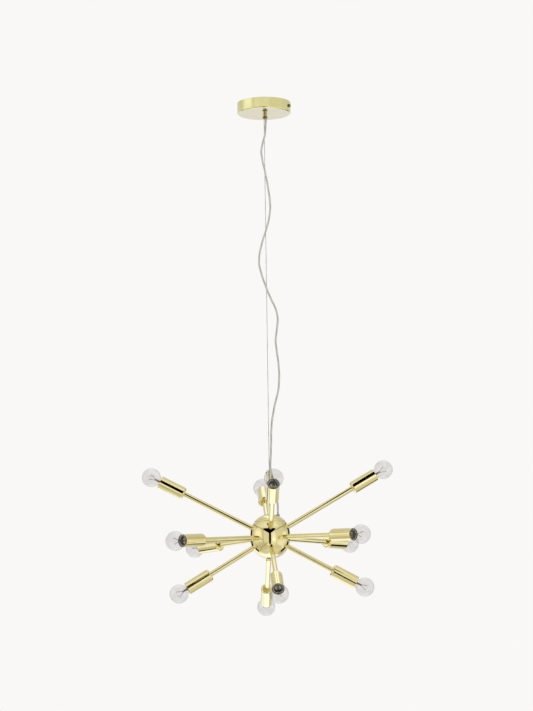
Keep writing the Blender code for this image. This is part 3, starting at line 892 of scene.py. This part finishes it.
def lampholder_shape():
    """A lampholder: its moulded body, the threaded shell inside, and the collar and pale ring above."""
    shape = Shape().turned(rounded([
        (0.0, HOLDER_FLOOR), (HOLDER_BORE, HOLDER_FLOOR), (HOLDER_BORE, HOLDER_MOUTH, 0.0008),
        (HOLDER_R, HOLDER_MOUTH, 0.0008), (HOLDER_R, HOLDER_FOOT, 0.0010), (0.0, HOLDER_FOOT),
    ], steps=5), 64)
    shell = [(SHELL_INNER_R, SHELL_LOW), (SHELL_INNER_R, SHELL_HIGH)]
    shell += ladder(SHELL_R, SHELL_HIGH, SHELL_LOW, 70)
    shape.turned(shell, 48, 1, closed=True, bend=thread(0.0003, THREAD_PITCH, 0.032, 0.055))
    shape.turned(rounded([
        (0.0122, COLLAR_LOW), (0.0122, 0.0640, 0.0004), (COLLAR_R, 0.0646, 0.0006), (COLLAR_R, COLLAR_LOW),
    ], steps=5, closed=True), 96, 0, closed=True)
    shape.turned(rounded([
        (RING_INNER_R, COLLAR_LOW), (RING_INNER_R, 0.0630, 0.0003), (RING_OUTER_R, 0.0638, 0.0003),
        (RING_OUTER_R, COLLAR_LOW),
    ], steps=4, closed=True), 96, 2, closed=True)
    return shape


def globe_profile():
    """The glass outline from the cap to the crown."""
    start, high = Vector((CAP_R, BULB_NECK)), math.radians(BULB_NECK_ENDS)
    join = Vector((BULB_R * math.sin(high), BULB_CENTRE + BULB_R * math.cos(high)))
    slope = Vector((-math.cos(high), math.sin(high)))
    a, b = start + Vector((0.0002, 0.0050)), join - slope * 0.0060
    neck = []
    for i in range(18):
        t = i / 18
        p = start * (1 - t)**3 + a * 3 * t * (1 - t)**2 + b * 3 * t * t * (1 - t) + join * t**3
        neck.append(tuple(p))
    crown = arc(BULB_R, BULB_NECK_ENDS, 0, 44, BULB_CENTRE)
    crown[-1] = (0.0, crown[-1][1])
    return neck + crown


def glass_shape():
    """The bulb's glass as one thin skin."""
    return Shape().turned([(0.0, BULB_NECK)] + globe_profile(), 96)


def bulb_inside_shape():
    """The screw cap with its glass insulator and contact, the glass stem, the wires and the filament."""
    shape = Shape()
    cap = [(0.0, 0.0572), (0.0060, 0.0580)] + ladder(CAP_R, CAP_HIGH, CAP_LOW, 66)
    cap += [(0.0056, 0.0338), (0.0, 0.0338)]
    shape.turned(cap, 64, 0, bend=thread(0.00055, THREAD_PITCH, 0.037, 0.0545))
    shape.turned(rounded([(0.0, 0.0345), (0.0052, 0.0340, 0.0006), (0.0034, 0.0326), (0.0, 0.0326)],
                         steps=4), 40, 1)
    shape.turned(rounded([(0.0, 0.0330), (0.0022, 0.0329, 0.0003), (0.0018, 0.0320, 0.0003), (0.0, 0.0320)],
                         steps=3), 32, 2)
    shape.turned(rounded([
        (0.0, BULB_NECK), (0.0042, BULB_NECK), (0.0034, 0.0640, 0.0020), (0.0022, 0.0700, 0.0020),
        (0.0019, 0.0780, 0.0010), (0.0, 0.0790),
    ], steps=6), 40, 3)
    for side in (-1, 1):
        lead = [Vector((side * x, y, z)) for x, y, z in (
            (0.0008, 0.0, 0.0600), (0.0012, 0.0, 0.0700), (0.0016, 0.0, 0.0772), (0.0034, 0.0, 0.0830),
            (0.0062, 0.0, 0.0885), (FILAMENT_HALF, 0.0, FILAMENT_Z))]
        shape.tube(smooth_route(lead, 0.0010), LEAD_R, 8, 2)
    coil, steps = [], FILAMENT_TURNS * 8
    for i in range(steps + 1):
        t = i / steps
        a = math.tau * FILAMENT_TURNS * t
        x = -FILAMENT_HALF + 2 * FILAMENT_HALF * t
        z = FILAMENT_Z + 0.0016 * math.sin(math.pi * t)
        coil.append(Vector((x, FILAMENT_COIL_R * math.cos(a), z + FILAMENT_COIL_R * math.sin(a))))
    shape.tube(coil, FILAMENT_WIRE_R, 5, 4)
    return shape


def make_arms():
    """Every arm's tube, cup, lampholder and bulb, with one mesh for all that are alike."""
    cup = cup_shape().mesh("lamp_cup", [CUP_BRASS])
    holder = lampholder_shape().mesh("lampholder", [BLACK_PLASTIC, SHELL_BRASS, PALE_RING])
    glass = glass_shape().mesh("bulb_glass", [GLASS], crease=60)
    inside = bulb_inside_shape().mesh("bulb_inside", [CAP_METAL, BLACK_GLASS, SOLDER, STEM_GLASS, TUNGSTEN])
    tubes = {}
    for index, name in enumerate(ARMS):
        direction = Vector(JOINTS["unscrew_" + name]["axis"]).normalized()
        cup_places = [(v.co - HUB).dot(direction) for v in frame["nodes"]["lamp_cup_" + name].data.vertices]
        tube_places = [(v.co - HUB).dot(direction) for v in frame["nodes"]["arm_tube_" + name].data.vertices]
        foot, root, tip = min(cup_places), min(tube_places), max(tube_places)
        length = round(tip - root, 4)
        if length not in tubes:
            tubes[length] = Shape().turned(rounded([
                (TUBE_BORE, length), (TUBE_R, length, 0.0003), (TUBE_R, 0.0, 0.0003), (TUBE_BORE, 0.0),
            ], steps=3, closed=True), 72, closed=True).mesh("arm_rod", [ARM_BRASS])
        at = along(direction, HUB + direction * foot, roll=index * 2.4)
        piece("rod_" + name, tubes[length], "fixture", "arm_brass", "arm_tube_" + name,
              matrix=along(direction, HUB + direction * root))
        piece("cup_" + name, cup, "fixture", "cup_brass", "lamp_cup_" + name, matrix=at)
        piece("holder_" + name, holder, "fixture", "dark_plastic", "lampholder_" + name, matrix=at)
        body = "bulb_body_" + name
        piece("globe_" + name, glass, body, "bulb_glass", "bulb_" + name, matrix=at)
        piece("lamp_" + name, inside, body, "wire_steel", matrix=at)


# ---- the scene --------------------------------------------------------------------------------

CORD = sheathed("clear_sheath", (0.61, 0.595, 0.50), (0.45, 0.445, 0.375))
CANOPY_BRASS = metal("canopy_polished_brass", (0.84, 0.765, 0.34), 0.07, lacquer=1.0)
GLAND_BRASS = metal("gland_polished_brass", (0.80, 0.70, 0.38), 0.18)
GLAND_DARK = metal("gland_dark_bronze", (0.26, 0.23, 0.14), 0.25)
DARK_BRASS = metal("aged_brass", (0.30, 0.24, 0.10), 0.34, drift=0.2)
HUB_BRASS = metal("hub_polished_brass", (0.845, 0.725, 0.325), 0.025, lacquer=1.0, rings=0.012)
ARM_BRASS = metal("rod_polished_brass", (0.845, 0.725, 0.325), 0.035, lacquer=1.0, rings=0.02)
CUP_BRASS = metal("cup_polished_brass", (0.845, 0.725, 0.325), 0.035, lacquer=1.0, rings=0.015)
STEM_BRASS = metal("stem_satin_brass", (0.82, 0.755, 0.46), 0.13, lacquer=0.3)
STEEL = zinc("bright_zinc", (0.62, 0.63, 0.64), 0.30)
WIRE = zinc("strand_steel", (0.66, 0.66, 0.67), 0.38)
BLACK_PLASTIC = plastic("green_black_phenolic", (0.022, 0.052, 0.040), 0.28)
BUSH_PLASTIC = plastic("bush_nylon", (0.26, 0.25, 0.19), 0.35)
SHELL_BRASS = metal("shell_brass", (0.50, 0.42, 0.20), 0.35)
PALE_RING = metal("pale_ring", (0.62, 0.66, 0.58), 0.30)
GLASS = thin_glass("blown_glass", (0.884, 0.875, 0.867), (0.76, 0.755, 0.74))
STEM_GLASS = thin_glass("stem_glass", (0.62, 0.55, 0.51), (0.34, 0.29, 0.26))
CAP_METAL = metal("cap_nickel_brass", (0.60, 0.52, 0.36), 0.28)
BLACK_GLASS = plastic("insulator_glass", (0.010, 0.010, 0.012), 0.15)
SOLDER = metal("lead_wire", (0.30, 0.21, 0.17), 0.45)
TUNGSTEN = metal("tungsten", (0.30, 0.29, 0.29), 0.40)

make_camera()
make_cord()
make_studio()
make_cards()
make_floor()
make_canopy()
make_gland()
make_wire()
make_hub()
make_stem()
make_arms()

bracket = frame["nodes"]["ceiling_bracket"]
bracket.data.materials.clear()
bracket.data.materials.append(STEEL)
